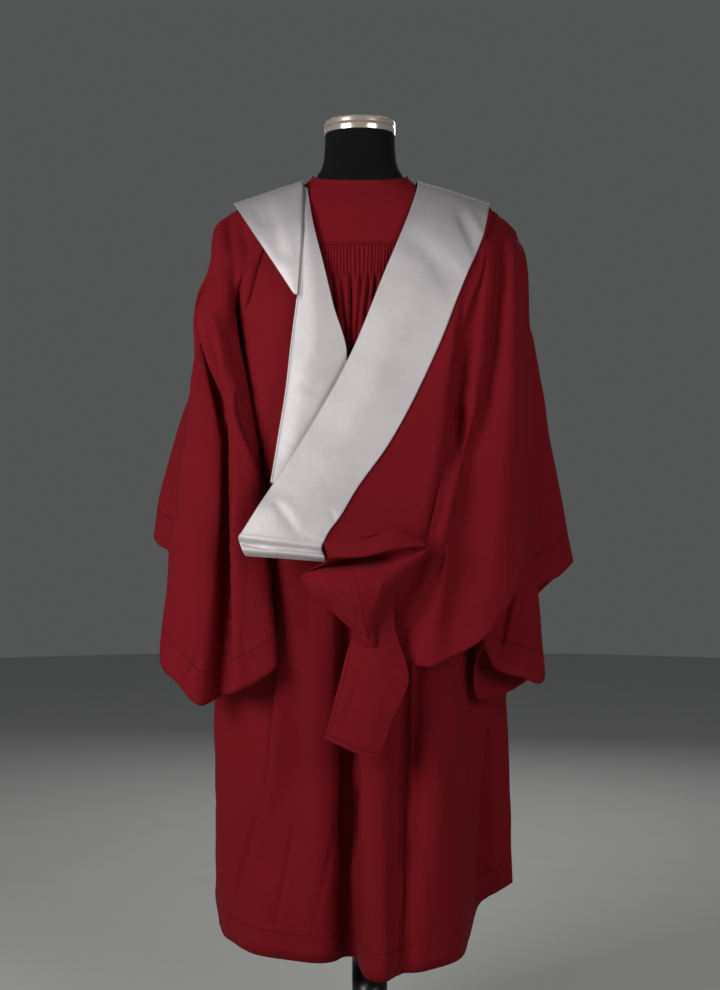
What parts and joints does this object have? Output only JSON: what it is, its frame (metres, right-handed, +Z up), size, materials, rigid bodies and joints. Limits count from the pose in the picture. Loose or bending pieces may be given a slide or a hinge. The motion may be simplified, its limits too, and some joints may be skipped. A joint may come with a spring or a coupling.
{
  "type": "graduation gown with hood on a limbless dress form",
  "caption": "Open-fronted academic gown with gathered back and wide pointed sleeves, worn with a satin-lined hood on a dress form with round base.",
  "frame": {"origin": "centre of the base's underside, on the floor", "axes": "+Z up, -Y out of the gown's back (the pictured side), +X to the wearer's right"},
  "size_m": [0.7018, 0.433, 1.6],
  "materials": {
    "gown_cloth": "matte fine-weave crimson suiting",
    "hood_satin": "silver satin",
    "form_jersey": "matte black jersey",
    "post_lacquer": "black lacquer",
    "cap_chrome": "polished"
  },
  "bodies": {
    "root": {"form_torso": "form_jersey", "neck_cap": "cap_chrome", "form_post": "post_lacquer", "form_base": "post_lacquer", "gown_yoke": "gown_cloth", "gown_back": "gown_cloth", "gown_front_left": "gown_cloth", "gown_front_right": "gown_cloth", "sleeve_left": "gown_cloth", "sleeve_right": "gown_cloth", "hood_band_right": "hood_satin", "hood_band_left": "hood_satin", "hood_shoulder_left": "hood_satin", "hood_cape": "gown_cloth", "hood_cowl": "gown_cloth", "hood_tail": "gown_cloth"}
  },
  "joints": []
}
